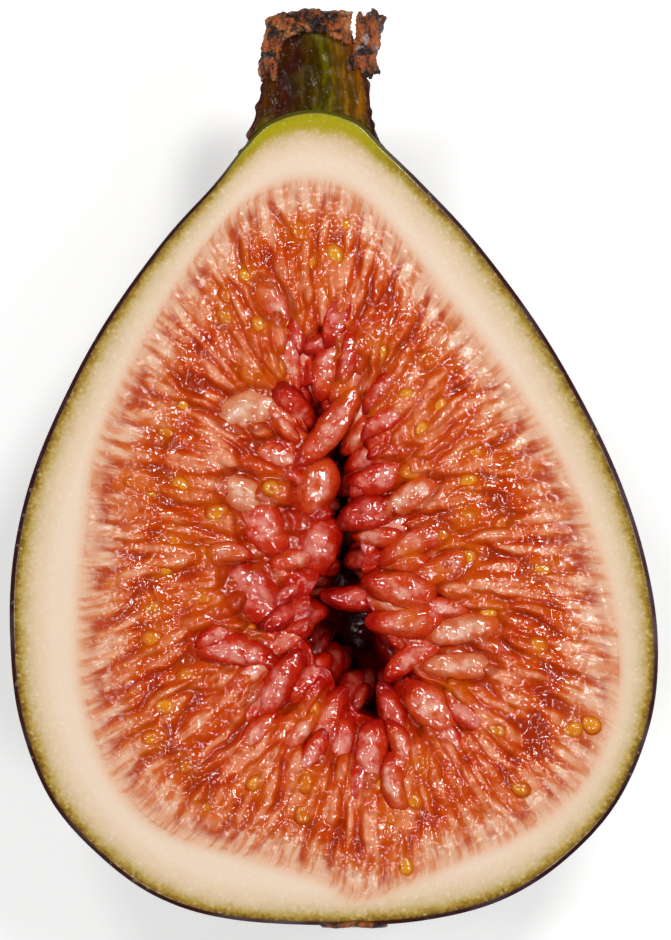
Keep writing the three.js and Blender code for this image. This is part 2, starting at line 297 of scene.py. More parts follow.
def wrapped_grid(name, columns, rows, place):
    """A grid closed round its columns. place(around, down) gives its points in mm and its named notes."""
    bm = bmesh.new()
    bmesh.ops.create_grid(bm, x_segments=columns, y_segments=rows, size=0.5)
    mesh = bpy.data.meshes.new(name)
    bm.to_mesh(mesh)
    flat = np.zeros(len(mesh.vertices) * 3)
    mesh.vertices.foreach_get("co", flat)
    around = np.mod(flat[0::3] + 0.5, 1 - 1e-9)
    down = flat[1::3] + 0.5
    points, notes = place(around, down)
    mesh.vertices.foreach_set("co", (points * MM).ravel())
    for note, values in notes.items():
        vector = values.ndim == 2
        layer = mesh.attributes.new(note, "FLOAT_VECTOR" if vector else "FLOAT", "POINT")
        layer.data.foreach_set("vector" if vector else "value", values.ravel())
    bm.clear()
    bm.from_mesh(mesh)
    bmesh.ops.remove_doubles(bm, verts=bm.verts, dist=1e-6)
    bmesh.ops.recalc_face_normals(bm, faces=bm.faces)
    bm.to_mesh(mesh)
    bm.free()
    mesh.shade_smooth()
    return put_in_scene(name, mesh)


fruit_edge = Edge(FRUIT_STATIONS)
pulp_edge = Edge(PULP_STATIONS)
fruit_sections = smooth_line(FRUIT_STATIONS, 40, closed=False)


def skin_depth(x, y):
    """How far the skin lies under the cut face at a place, in mm: the sections of the fruit are ovals."""
    left = np.interp(y, fruit_sections[:, 1], fruit_sections[:, 0])
    right = np.interp(y, fruit_sections[:, 1], fruit_sections[:, 2])
    half_width = (right - left) / 2
    rise = np.sqrt(np.maximum((right - x) * (x - left), 0))
    return rise * DEPTH_SHARE, (left + right) / 2, half_width


def place_wall(around, down):
    """The wall: down the inside of the pulp's edge, across the cut face and round the skin."""
    cut_share = CUT_ROWS / (CUT_ROWS + SKIN_ROWS)
    inner = pulp_edge.at(around)
    outer = fruit_edge.at(around)
    on_cut = down <= cut_share + 1e-6
    across = np.clip(down / cut_share, 0, 1)
    across = 1 - (1 - across) ** 1.7
    flat = inner + (outer - inner) * across[:, None]
    thickness = np.hypot(*(outer - inner).T)
    skin_gap = thickness * (1 - across)
    turned = np.clip((down - cut_share) / (1 - cut_share), 0, 1) * math.pi / 2
    under = MIDDLE + (outer - MIDDLE) * np.cos(turned)[:, None]
    x = np.where(on_cut, flat[:, 0], under[:, 0])
    y = np.where(on_cut, flat[:, 1], under[:, 1])
    depth, middle, half_width = skin_depth(x, y)
    share = np.clip((x - middle) / np.maximum(half_width, 0.01), -1, 1)
    angle = np.arccos(share)
    along = np.interp(y, fruit_sections[:, 1], np.linspace(0, 1, len(fruit_sections)))
    rib = 1 - RIB_DEPTH * np.sin(math.pi * along) * (1 - np.cos(RIBS * angle))
    x = np.where(on_cut, x, middle + (x - middle) * rib)
    edge_drop = EDGE_DROP * (1 - np.clip(skin_gap / EDGE_WIDTH, 0, 1)) ** 2
    face = CUT_MM - edge_drop + 0.05 * ripple(x, y, 7, 3) * np.clip(skin_gap / 2, 0, 1)
    skin = np.maximum(CUT_MM - EDGE_DROP - depth * rib, 0)
    skin += 0.12 * ripple(x, y, 5, 8) * np.clip(depth / 4, 0, 1) * np.clip(skin / 3, 0, 1)
    z = np.where(on_cut, face, skin)
    pulp_gap = np.where(on_cut, thickness * across, AWAY_FROM_PULP)
    notes = {
        "skin_gap": np.where(on_cut, skin_gap, 0),
        "pulp_gap": pulp_gap,
        "neck": blend_in(y, NECK_FROM, NECK_TO),
        "skin_side": np.where(on_cut, 0.0, 1.0),
        "meridian": np.stack([np.cos(angle), np.sin(angle), along * 3], axis=-1),
        "strand": strand_coordinates(around, -pulp_gap),
    }
    return np.stack([x, y, z], axis=-1), notes


def strand_coordinates(around, inward_mm):
    """Coordinates in mm that run round the pulp's edge and inward, joined up all the way round."""
    radius = pulp_edge.length / math.tau
    angle = around * math.tau
    return np.stack([radius * np.cos(angle), radius * np.sin(angle), inward_mm], axis=-1)


def add_node(tree, kind, joins=(), **settings):
    """A node of this kind, with its settings made and its inputs joined to what feeds them."""
    node = tree.nodes.new(kind)
    for name, value in settings.items():
        setattr(node, name, value)
    join_up(tree, node, dict(joins))
    return node


def object_place(tree):
    """Object coordinates."""
    return add_node(tree, "ShaderNodeTexCoord").outputs["Object"]


def note_of(tree, name):
    """The value that the mesh keeps under this name."""
    return add_node(tree, "ShaderNodeAttribute", attribute_name=name).outputs["Fac"]


def vector_of(tree, name):
    """The vector that the mesh keeps under this name."""
    return add_node(tree, "ShaderNodeAttribute", attribute_name=name).outputs["Vector"]


def stretched(tree, vector, scale):
    """A vector with each of its parts multiplied."""
    joins = {"Vector": vector, "Scale": scale}
    return add_node(tree, "ShaderNodeMapping", joins).outputs["Vector"]


def noise(tree, vector, scale, detail=3.0, roughness=0.55):
    """Soft noise from 0 to 1, with scale repeats in each unit of the vector."""
    joins = {"Vector": vector, "Scale": scale, "Detail": detail, "Roughness": roughness}
    return add_node(tree, "ShaderNodeTexNoise", joins).outputs["Fac"]


def remap(tree, value, low, high, to_low=0.0, to_high=1.0):
    """A value taken from one range to another and held inside it."""
    joins = {0: value, 1: low, 2: high, 3: to_low, 4: to_high}
    return add_node(tree, "ShaderNodeMapRange", joins, interpolation_type="SMOOTHSTEP").outputs[0]


def maths(tree, operation, first, second):
    """One sum on two values."""
    return add_node(tree, "ShaderNodeMath", {0: first, 1: second}, operation=operation).outputs[0]


def swing(tree, value, width):
    """A value from 0 to 1 as a swing of this width round 0."""
    return maths(tree, "MULTIPLY", maths(tree, "SUBTRACT", value, 0.5), width)


def unsettled(tree, value, swings):
    """A value with the swings of other values added: (value, width) each."""
    for other, width in swings:
        value = maths(tree, "ADD", value, swing(tree, other, width))
    return value


def mixed(tree, share, first, second):
    """One colour turning into another by a share."""
    joins = {0: share, 6: first, 7: second}
    return add_node(tree, "ShaderNodeMix", joins, data_type="RGBA").outputs[2]


def colour_run(tree, value, places, colours):
    """A run of colours along a value, each at its place."""
    ramp = add_node(tree, "ShaderNodeValToRGB", {0: value})
    elements = ramp.color_ramp.elements
    while len(elements) < len(places):
        elements.new(0.5)
    for element, place, colour in zip(elements, places, colours):
        element.position = place
        element.color = colour
    return ramp.outputs["Color"]


def screen_colours(*screens):
    """Several colours as a screen shows them, as the linear colours that a shader takes."""
    return [from_screen(*screen) for screen in screens]


def bumped(tree, height, strength, depth_mm, over=None):
    """The Normal of a relief, laid over another Normal where one is given."""
    joins = {"Strength": strength, "Distance": depth_mm * MM, "Height": height}
    if over:
        joins["Normal"] = over
    return add_node(tree, "ShaderNodeBump", joins).outputs["Normal"]


def new_group(name, inputs, output, kind):
    """A node group with one output: the group itself, what it is given and where its result goes."""
    group = bpy.data.node_groups.new(name, "ShaderNodeTree")
    for socket, socket_kind in inputs.items():
        group.interface.new_socket(socket, in_out="INPUT", socket_type=socket_kind)
    group.interface.new_socket(output, in_out="OUTPUT", socket_type=kind)
    given = group.nodes.new("NodeGroupInput").outputs
    way_out = group.nodes.new("NodeGroupOutput").inputs[output]
    return group, given, way_out


def placed(tree, group, **values):
    """What a group puts out in one material, with that material's own values."""
    node = tree.nodes.new("ShaderNodeGroup")
    node.node_tree = group
    join_up(tree, node, values)
    return node.outputs[0]


VALUE = "NodeSocketFloat"
VECTOR = "NodeSocketVector"
FILM_DEPTH = 0.35
JUICE_BEADS = 1400
WET_ROUGHNESS = 0.05
STRAND_GRAIN = 1.5

# The wet film's relief: a coarse grain with a finer sparkle on it.
wet_film, given, way_out = new_group("wet film", {"Grain": VALUE, "Strength": VALUE}, "Normal", VECTOR)
film_place = object_place(wet_film)
coarse = noise(wet_film, film_place, given["Grain"], detail=0.5)
fine_grain = maths(wet_film, "MULTIPLY", given["Grain"], 2.7)
fine = noise(wet_film, film_place, fine_grain, detail=0.5)
film_height = maths(wet_film, "ADD", coarse, maths(wet_film, "MULTIPLY", fine, 0.22))
wet_film.links.new(bumped(wet_film, film_height, given["Strength"], FILM_DEPTH), way_out)

# Juice that shines in beads over a share of the surface, which is rougher where it is dry.
juice, given, way_out = new_group("juice beads", {"Share": VALUE, "Dry": VALUE}, "Roughness", VALUE)
beads = remap(juice, noise(juice, object_place(juice), JUICE_BEADS, detail=2), 0.42, 0.52)
wet = maths(juice, "MULTIPLY", beads, given["Share"])
juice.links.new(remap(juice, wet, 0, 1, given["Dry"], WET_ROUGHNESS), way_out)

# The fine threads that run inward through the flesh's edge and the strands.
thread_grain, given, way_out = new_group("thread grain", {"Strand": VECTOR}, "Threads", VALUE)
drawn_out = stretched(thread_grain, given["Strand"], (1, 1, 0.16))
thread_noise = noise(thread_grain, drawn_out, STRAND_GRAIN, detail=4, roughness=0.6)
thread_grain.links.new(thread_noise, way_out)

SKIN_BROWN = from_screen(62, 26, 14)
SKIN_PURPLE = from_screen(48, 20, 26)
SKIN_GREEN = from_screen(96, 92, 14)
BLOOM = from_screen(122, 108, 120)
PINK_FLESH = from_screen(234, 184, 150)
NECK_GREEN = from_screen(196, 186, 0)
NECK_OLIVE = from_screen(126, 116, 0)
WHITE_GRAIN_AND_SPARKLE = from_screen(255, 244, 226)
PALE_DOT = from_screen(150, 130, 104)
FILAMENT = from_screen(212, 108, 40)
# The flesh from green under the skin through yellow and cream to nearly white.
FLESH_PLACES = (0.08, 0.18, 0.29, 0.42, 0.62, 1.0)
FLESH_COLOURS = screen_colours(
    (100, 66, 4), (154, 120, 34), (192, 164, 92), (214, 188, 146), (230, 204, 170), (241, 217, 192)
)
FLESH_REACH = 3.2


def wall_material():
    """Cut flesh that turns from green at the skin through cream to pink, and the skin itself."""
    material, tree, shader = new_material("fig_flesh_and_skin")
    place = object_place(tree)
    skin_gap = note_of(tree, "skin_gap")
    pulp_gap = note_of(tree, "pulp_gap")
    neck = note_of(tree, "neck")

    mottle = noise(tree, place, 900, detail=4)
    speckle = noise(tree, place, 3600, detail=2)
    depth = unsettled(tree, skin_gap, [(mottle, 0.8), (speckle, 0.6)])
    depth = maths(tree, "SUBTRACT", depth, maths(tree, "MULTIPLY", neck, 0.6))
    flesh = colour_run(tree, maths(tree, "DIVIDE", depth, FLESH_REACH), FLESH_PLACES, FLESH_COLOURS)
    neck_band = maths(tree, "MULTIPLY", remap(tree, depth, -0.3, 1.6, 0.9, 0), neck)
    flesh = mixed(tree, neck_band, flesh, NECK_GREEN)
    neck_edge = maths(tree, "MULTIPLY", remap(tree, depth, -0.5, 0.5, 0.6, 0), neck)
    flesh = mixed(tree, neck_edge, flesh, NECK_OLIVE)
    flesh = mixed(tree, remap(tree, pulp_gap, 0.0, 1.5), PINK_FLESH, flesh)

    threads = placed(tree, thread_grain, Strand=vector_of(tree, "strand"))
    thinning = remap(tree, pulp_gap, 0.0, 0.9, 0.7, 0)
    filaments = maths(tree, "MULTIPLY", remap(tree, threads, 0.44, 0.62), thinning)
    flesh = mixed(tree, filaments, flesh, FILAMENT)
    # White specks over the flesh: partly its pale grain, partly painted sparkle of its wet surface.
    flesh = mixed(tree, remap(tree, speckle, 0.62, 0.74, 0, 0.25), flesh, WHITE_GRAIN_AND_SPARKLE)

    meridian = stretched(tree, vector_of(tree, "meridian"), (1, 1, 0.12))
    streaks = noise(tree, meridian, 9, detail=3)
    skin = mixed(tree, remap(tree, streaks, 0.35, 0.65), SKIN_BROWN, SKIN_PURPLE)
    skin = mixed(tree, maths(tree, "MULTIPLY", remap(tree, neck, 0.1, 0.9), 0.75), skin, SKIN_GREEN)
    bloom = remap(tree, noise(tree, place, 160, detail=5), 0.45, 0.75, 0, 0.45)
    skin = mixed(tree, bloom, skin, BLOOM)
    dots = remap(tree, noise(tree, place, 1500, detail=1), 0.68, 0.74, 0, 0.5)
    skin = mixed(tree, dots, skin, PALE_DOT)

    skin_edge = unsettled(tree, skin_gap, [(mottle, 0.08)])
    is_skin = remap(tree, skin_edge, 0.26, 0.40, 1, 0)
    finish = {
        "Base Color": mixed(tree, is_skin, flesh, skin),
        "Roughness": remap(tree, note_of(tree, "skin_side"), 0, 1, 0.34, 0.52),
        "Specular IOR Level": 0.15,
        "Coat Weight": remap(tree, is_skin, 0, 1, 0.3, 0.0),
        "Coat Roughness": 0.12,
        "Subsurface Weight": 0.12,
        "Subsurface Radius": (1.0, 0.55, 0.3),
        "Subsurface Scale": 0.8 * MM,
        "Normal": placed(tree, wet_film, Grain=2600, Strength=0.12),
    }
    join_up(tree, shader, finish)
    return material


fig_wall = wrapped_grid("fig_flesh_and_skin", WALL_COLUMNS, CUT_ROWS + SKIN_ROWS, place_wall)
fig_wall.data.materials.append(wall_material())
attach(fig_wall, "root")
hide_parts("fruit_wall")


# Florets
# The pulp is a bed of hundreds of tiny flowers that grow inward from the wall. Cut through, each is
# a wet strand that swells to a seed and ends in a tip over the hollow in the middle.
# The hollow's edge in mm, as the other edges: (left, y, right).
HOLLOW_STATIONS = [
    (2.6, -10.9, 2.8),
    (-0.2, -8.6, 5.8),
    (-2.6, -5.2, 4.8),
    (-2.4, -1.6, 3.4),
    (-1.6, 2.4, 2.7),
    (-1.2, 6.4, 2.3),
    (-2.0, 10.4, 1.2),
    (-2.9, 13.8, -0.6),
    (-2.3, 15.8, -1.7),
]
# Seeds that show, in mm: (x, y).
SHOWN_SEEDS = [
    (-2.6, 25.8), (0.8, 26.1), (0.1, 24.1), (-1.8, 23.5), (-0.8, 21.8), (-6.5, 22.5),
    (-5.5, 21.2), (-8.0, 21.0), (-8.0, 19.5), (-6.3, 15.3), (3.5, 16.9), (1.0, 14.2),
    (5.2, 13.6), (7.7, 12.9), (6.4, 11.2), (10.3, 9.4), (12.7, 8.7), (5.7, 8.1),
    (9.9, 7.2), (9.8, 4.6), (12.5, 4.2), (5.6, 2.0), (9.9, 1.7), (7.9, 0.6),
    (15.3, 0.7), (11.5, -2.3), (5.5, -2.8), (-11.2, 12.8), (-15.0, 7.3), (-13.4, 6.7),
    (-11.3, 6.9), (-8.7, 5.0), (-4.5, 6.7), (-9.6, 2.0), (-13.4, -2.1), (-9.7, -1.3),
    (-13.4, -4.3), (-10.9, -7.0), (-13.6, -11.7), (-12.5, -9.4), (-9.3, -16.8), (-1.6, -9.8),
    (-2.1, -15.0), (15.1, -4.8), (17.6, -11.1), (19.0, -10.7), (13.8, -15.4), (12.0, -11.1),
    (5.9, -16.3), (8.9, -8.0), (5.3, -21.1), (6.4, -13.6),
]
# Plump lobes that show, which the bed makes room for, in mm and degrees:
# (x, y, heading of the tip, length, width, lift, ripeness from pale 0 to red 1).
SHOWN_LOBES = [
    (-6.4, 12.6, 15, 4.8, 3.0, -0.28, 0.16),
    (-0.2, 11.2, -128, 7.4, 2.3, 0.1, 0.50),
    (-1.3, 6.9, -112, 4.8, 3.1, -0.7, 0.45),
    (-1.2, 2.6, -95, 4.4, 3.5, -1.1, 0.70),
    (-5.2, 3.8, -58, 5.4, 3.4, -0.6, 0.60),
    (-6.0, -0.8, -50, 6.0, 3.8, -0.9, 0.75),
    (-6.8, 6.4, -30, 4.0, 2.7, -0.28, 0.20),
    (3.2, 7.5, 200, 4.4, 2.4, -0.5, 0.70),
    (2.6, 5.0, 190, 4.6, 2.7, -0.6, 0.80),
    (5.5, 6.1, 215, 5.4, 2.1, -0.1, 0.30),
    (5.9, 2.8, 205, 5.6, 2.2, -0.1, 0.50),
    (7.9, 0.8, 203, 5.2, 2.0, 0.0, 0.45),
    (5.0, -0.7, 170, 5.6, 2.8, -0.1, 0.50),
    (5.6, -3.1, 184, 6.2, 2.6, -0.2, 0.55),
    (2.4, -1.3, 186, 6.4, 2.2, -1.2, 0.90),
    (9.6, -3.7, 190, 5.8, 2.4, 0.0, 0.25),
    (9.2, -6.3, 180, 5.8, 2.1, -0.1, 0.25),
    (5.8, -5.6, 212, 5.2, 2.0, -0.5, 0.60),
    (7.3, -9.6, 140, 5.4, 3.2, -0.3, 0.45),
    (4.4, -10.0, 110, 4.8, 2.2, -0.8, 0.80),
    (2.7, -12.8, 85, 5.0, 2.7, -0.2, 0.60),
    (-0.6, -10.7, 72, 6.0, 2.3, -0.4, 0.65),
    (-4.3, -7.9, 55, 6.4, 2.8, -0.3, 0.70),
    (-7.3, -5.2, -12, 6.4, 2.7, 0.0, 0.60),
    (0.9, 14.6, 240, 4.4, 2.5, -0.4, 0.55),
    (-4.5, 20.6, -50, 4.0, 2.2, -0.1, 0.50),
    (-0.7, 17.6, 200, 3.8, 1.7, -0.1, 0.80),
]
SCATTERED_SEEDS = 18
SEED_SPACING = 2.1
SEED_DRAW = 17
FLORET_DRAW = 7
BED_COLUMNS = 760
BED_ROWS = 124
RIM_SHARE = 0.88
RIM_TOOTH = 0.9
RIM_FLORETS_FROM = 0.84
FLORET_REACH = 3.2
BARE_BED = -0.25
GLOW_WIDTH = 1.25
SOCKET_RADIUS = 1.0
SOCKET_WIDTH = 0.35
MOAT_WIDTH = 0.3
MOAT_DEPTH = 0.40
DISH_DEPTH = 1.3
HOLLOW_DEPTH = 9.0
HOLLOW_MIDDLE = np.array([0.4, 0.6])
# Rows of florets from the wall inward: (share of the way in, spacing, head, tail, height) in mm.
FLORET_ROWS = [
    (0.13, 1.05, 2.4, 3.5, 0.42),
    (0.36, 1.25, 2.6, 8.5, 0.60),
    (0.52, 1.60, 1.9, 6.5, 0.80),
    (0.67, 1.90, 1.8, 5.0, 0.98),
    (0.82, 2.20, 1.8, 4.4, 1.12),
    (0.97, 2.40, 1.8, 4.2, 1.20),
]
hollow_edge = Edge(HOLLOW_STATIONS)


def grow_florets():
    """Every floret by rule: its place round and inward, its sizes, its lean and its tint."""
    rng = random.Random(FLORET_DRAW)
    florets = []
    for inward, spacing, head, tail, height in FLORET_ROWS:
        girth = pulp_edge.length * (1 - inward) + hollow_edge.length * inward
        count = round(girth / spacing)
        for i in range(count):
            florets.append(
                {
                    "around": (i + rng.uniform(-0.35, 0.35)) / count,
                    "inward": inward + rng.uniform(-0.06, 0.06),
                    "half_width": spacing * rng.uniform(0.45, 0.75),
                    "head": head * rng.uniform(0.8, 1.3),
                    "tail": tail * rng.uniform(0.8, 1.4),
                    "height": height * rng.uniform(0.55, 1.15),
                    "lean": rng.uniform(-0.14, 0.14),
                    "tint": rng.random(),
                }
            )
    return florets


def scatter_seeds():
    """The seeds that show in the photograph, and others by rule between them: (x, y) in mm."""
    rng = random.Random(SEED_DRAW)
    spots = list(SHOWN_SEEDS)
    while len(spots) < len(SHOWN_SEEDS) + SCATTERED_SEEDS:
        around = np.array([rng.random()])
        outer = pulp_edge.at(around)[0]
        spot = outer + (hollow_edge.at(around)[0] - outer) * rng.uniform(0.18, 0.80)
        if all(math.dist(spot, other) > SEED_SPACING for other in spots):
            spots.append(tuple(spot))
    return spots


def softened(values, rounds):
    """Values over the bed's grid, each averaged with its neighbours a few times over."""
    sheet = values.reshape(BED_ROWS + 1, BED_COLUMNS + 1)[:, :-1]
    for _ in range(rounds):
        ends = np.pad(sheet, ((1, 1), (0, 0)), mode="edge")
        sides = np.roll(sheet, 1, axis=1) + np.roll(sheet, -1, axis=1)
        sheet = (ends[:-2] + ends[2:] + sides + 2 * sheet) / 6
    return np.column_stack([sheet, sheet[:, 0]]).ravel()


def rim_teeth(around, florets):
    """How far the florets at the rim push it into the hollow, in mm."""
    teeth = np.full(len(around), -0.5)
    for floret in florets:
        if floret["inward"] > RIM_FLORETS_FROM:
            turn = np.mod(around - floret["around"] + 0.5, 1) - 0.5
            point = 1 - (turn * hollow_edge.length / (1.2 * floret["half_width"])) ** 2
            teeth = np.maximum(teeth, RIM_TOOTH * point * floret["height"])
    return teeth


def lay_florets(florets, around, girth, run_in, reach, wander):
    """The florets laid over each other like tiles: the height, the crest and the tint that show."""
    best = np.full(len(around), BARE_BED)
    crest = np.zeros(len(around))
    tint = np.full(len(around), 0.5)
    for floret in florets:
        turn = np.mod(around - floret["around"] + 0.5, 1) - 0.5
        near = np.flatnonzero(np.abs(turn) * girth < FLORET_REACH)
        along = run_in[near] - floret["inward"] * reach[near]
        keep = (along > -floret["tail"]) & (along < floret["head"])
        near = near[keep]
        along = along[keep]
        across = turn[near] * girth[near] - floret["lean"] * along + wander[near]
        ahead = np.clip(along / floret["head"], 0, 1)
        behind = np.clip(-along / floret["tail"], 0, 1)
        half_width = floret["half_width"] * (1 - ahead**2.2) * (1 - 0.5 * behind)
        side = np.clip(1 - (across / np.maximum(half_width, 0.01)) ** 2, 0, 1)
        rise = side**0.5 * (1 - 0.75 * behind) * np.sqrt(np.clip(1 - ahead**3, 0, 1))
        height = floret["height"] * rise + 0.10 * (along + 1) - 0.35
        higher = height > best[near]
        chosen = near[higher]
        best[chosen] = height[higher]
        crest[chosen] = rise[higher]
        tint[chosen] = floret["tint"]
    return softened(best, 1), softened(crest, 2), softened(tint, 6)


def seed_marks(x, y):
    """The golden glow over each seed and the raised ring round it, from 0 to 1."""
    golden = np.zeros(len(x))
    socket = np.zeros(len(x))
    for seed_x, seed_y in scatter_seeds():
        gap = np.hypot(x - seed_x, y - seed_y)
        golden = np.maximum(golden, np.exp(-((gap / GLOW_WIDTH) ** 3)))
        socket = np.maximum(socket, np.exp(-(((gap - SOCKET_RADIUS) / SOCKET_WIDTH) ** 2)))
    return golden, socket


def lobe_moats(x, y):
    """The room that the bed makes under and round the lobes that show, from 0 to 1, where the bed also takes
    painted shade.
    """
    moat = np.zeros(len(x))
    for lobe_x, lobe_y, heading, length, width, _, _ in SHOWN_LOBES:
        turn = math.radians(heading)
        along = (x - lobe_x) * math.cos(turn) + (y - lobe_y) * math.sin(turn)
        across = (y - lobe_y) * math.cos(turn) - (x - lobe_x) * math.sin(turn)
        gap = np.hypot(along / (length / 2 + MOAT_WIDTH), across / (width / 2 + MOAT_WIDTH))
        moat = np.maximum(moat, 1 - blend_in(gap, 0.88, 1.12))
    return moat


def place_bed(around, down):
    """The bed: strands over the cut face from the wall to the rim, then the walls of the hollow."""
    inward = np.clip(down / RIM_SHARE, 0, 1) * 1.02 - 0.02
    sinking = np.clip((down - RIM_SHARE) / (1 - RIM_SHARE), 0, 1)
    florets = grow_florets()
    outer = pulp_edge.at(around)
    rim = hollow_edge.at(around)
    towards = (rim - outer) / np.hypot(*(rim - outer).T)[:, None]
    rim = rim + towards * rim_teeth(around, florets)[:, None]
    reach = np.hypot(*(rim - outer).T)
    girth = pulp_edge.length * (1 - inward) + hollow_edge.length * inward
    flat = outer + (rim - outer) * inward[:, None]
    narrowing = 1 - sinking**1.6
    flat = np.where(sinking[:, None] > 0, HOLLOW_MIDDLE + (rim - HOLLOW_MIDDLE) * narrowing[:, None], flat)
    x, y = flat.T
    run_in = inward * reach + sinking * 6.0
    wander = 0.34 * ripple(x, y, 7.0, 21) + 0.07 * ripple(x, y, 2.6, 22)
    height, crest, tint = lay_florets(florets, around, girth, run_in, reach, wander)
    golden, socket = seed_marks(x, y)
    moat = lobe_moats(x, y)

    swell = 0.35 * blend_in(inward, -0.02, 0.14) + 0.65 * blend_in(inward, 0.05, 0.3)
    dish = DISH_DEPTH * blend_in(inward, 0.55, 1.0)
    pit = HOLLOW_DEPTH * np.sin(sinking * math.pi / 2) ** 0.8
    hollow_fade = 1 - blend_in(sinking, 0.2, 1.0)
    folds = 0.09 * ripple(x, y, 1.5, 31) + 0.04 * ripple(x, y, 0.8, 32)
    relief = height + 0.22 + folds + 0.05 * socket - MOAT_DEPTH * moat
    z = CUT_MM + relief * swell * hollow_fade - dish - pit
    notes = {
        "crest": crest,
        "tint": tint,
        "inward": inward,
        "golden": golden,
        "moat": moat,
        "deep": np.clip((pit + dish * 0.2) / 4, 0, 1),
        "strand": strand_coordinates(around, run_in),
    }
    return np.stack([x, y, z], axis=-1), notes


# Colours from the bottom of a groove to the top of a ridge: by the wall, half way in and by the hollow.
# They darken down into the grooves partly as the pulp's own deeper red, partly as painted shade.
LEVELS = (0.0, 0.28, 0.5, 0.72, 1.0)
WALL_LEVELS = screen_colours((184, 64, 0), (200, 80, 0), (206, 92, 4), (215, 116, 50), (236, 176, 136))
MIDWAY_LEVELS = screen_colours((166, 44, 0), (186, 50, 0), (198, 60, 0), (208, 80, 6), (237, 152, 112))
HOLLOW_LEVELS = screen_colours((92, 0, 0), (176, 12, 0), (197, 34, 0), (213, 72, 30), (240, 160, 140))
RED_JELLY = from_screen(190, 16, 0)
GOLDEN_JELLY = from_screen(214, 96, 0)
HOLLOW_SHADE_RED = from_screen(92, 0, 0)
JUICE_SHINE = 0.6
JELLY_GLOW = (1.0, 0.25, 0.08)


def pulp_colour(tree, level, inward):
    """The pulp's colour by how high it stands, darker low down partly as painted shade, and how far in it
    lies.
    """
    wall = colour_run(tree, level, LEVELS, WALL_LEVELS)
    midway = colour_run(tree, level, LEVELS, MIDWAY_LEVELS)
    hollow = colour_run(tree, level, LEVELS, HOLLOW_LEVELS)
    outer_part = mixed(tree, remap(tree, inward, 0.04, 0.26), wall, midway)
    return mixed(tree, remap(tree, inward, 0.60, 0.98), outer_part, hollow)


def bed_material():
    """Wet strands: pale crests over orange-red grooves with painted shade in them, and fine threads along
    them.
    """
    material, tree, shader = new_material("floret_bed")
    place = object_place(tree)
    crest = note_of(tree, "crest")
    inward = note_of(tree, "inward")
    tint = note_of(tree, "tint")
    threads = placed(tree, thread_grain, Strand=vector_of(tree, "strand"))
    patches = noise(tree, place, 420, detail=3)
    flecks = noise(tree, place, 1300, detail=2)
    level = maths(tree, "SUBTRACT", maths(tree, "MULTIPLY", crest, 1.1), 0.13)
    level = unsettled(tree, level, [(threads, 1.0), (patches, 0.35), (flecks, 0.45), (tint, 0.3)])
    level = maths(tree, "SUBTRACT", level, remap(tree, inward, 0.5, 0.85, 0.08, 0.26))
    colour = pulp_colour(tree, level, inward)

    lag = maths(tree, "SUBTRACT", swing(tree, threads, 0.26), maths(tree, "MULTIPLY", crest, 0.08))
    lag = maths(tree, "MULTIPLY", lag, remap(tree, inward, 0.0, 0.08))
    near_wall = remap(tree, maths(tree, "ADD", inward, lag), -0.01, 0.065, 1, 0)
    edge_colour = mixed(tree, remap(tree, threads, 0.44, 0.62, 0, 0.7), PINK_FLESH, FILAMENT)
    colour = mixed(tree, near_wall, colour, edge_colour)
    by_rim = remap(tree, inward, 0.55, 0.85)
    redness = maths(tree, "MULTIPLY", remap(tree, tint, 0.0, 0.2, 0.4, 0), by_rim)
    colour = mixed(tree, redness, colour, RED_JELLY)
    cloud = remap(tree, patches, 0.35, 0.6, 0.25, 0.85)
    glow = maths(tree, "MULTIPLY", note_of(tree, "golden"), cloud)
    colour = mixed(tree, glow, colour, GOLDEN_JELLY)
    # Painted shade: the bed turns to the dark groove colour in the moat round each lobe.
    colour = mixed(tree, remap(tree, note_of(tree, "moat"), 0.2, 1, 0, 0.6), colour, MIDWAY_LEVELS[0])
    # Down into the hollow the bed turns deep red and then dark: partly the pulp's own red, partly painted
    # shade.
    colour = mixed(tree, remap(tree, inward, 0.88, 1.0, 0, 0.85), colour, HOLLOW_LEVELS[1])
    colour = mixed(tree, remap(tree, note_of(tree, "deep"), 0.08, 0.8), colour, HOLLOW_SHADE_RED)

    film = placed(tree, wet_film, Grain=900, Strength=0.75)
    juicy = remap(tree, inward, 0.04, 0.30)
    dry = remap(tree, inward, 0.04, 0.40, 0.26, 0.10)
    finish = {
        "Base Color": colour,
        "Roughness": placed(tree, juice, Share=juicy, Dry=dry),
        "Specular IOR Level": JUICE_SHINE,
        "Subsurface Weight": 0.1,
        "Subsurface Radius": JELLY_GLOW,
        "Subsurface Scale": 0.7 * MM,
        "Normal": bumped(tree, threads, 0.2, 0.2, over=film),
    }
    join_up(tree, shader, finish)
    return material


floret_bed = wrapped_grid("floret_bed", BED_COLUMNS, BED_ROWS, place_bed)
floret_bed.data.materials.append(bed_material())
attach(floret_bed, "root")
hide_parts("floret_pulp")


# Plump lobes
# Round the hollow the ripest florets swell into soft jelly lobes, with their tips over the hollow.
# They are grown florets as the others are, fat enough to stand clear of the bed.
LOBE_DRAW = 11
PACKED_LOBES = 200
PACKED_SPACING = 1.75
RIM_LOBES = 34
WALL_LOBES = 46
LOBE_COLUMNS = 26
LOBE_ROWS = 20
LOBE_GLOW_WIDTH = 0.95
BED_TOP_REACH = 0.6


def new_ball(columns, rows):
    """A ball of radius 1 that copies are made from: its mesh and its points."""
    bm = bmesh.new()
    bmesh.ops.create_uvsphere(bm, u_segments=columns, v_segments=rows, radius=1)
    mesh = mesh_of("ball", bm)
    points = np.zeros(len(mesh.vertices) * 3)
    mesh.vertices.foreach_get("co", points)
    return mesh, points.reshape(-1, 3)


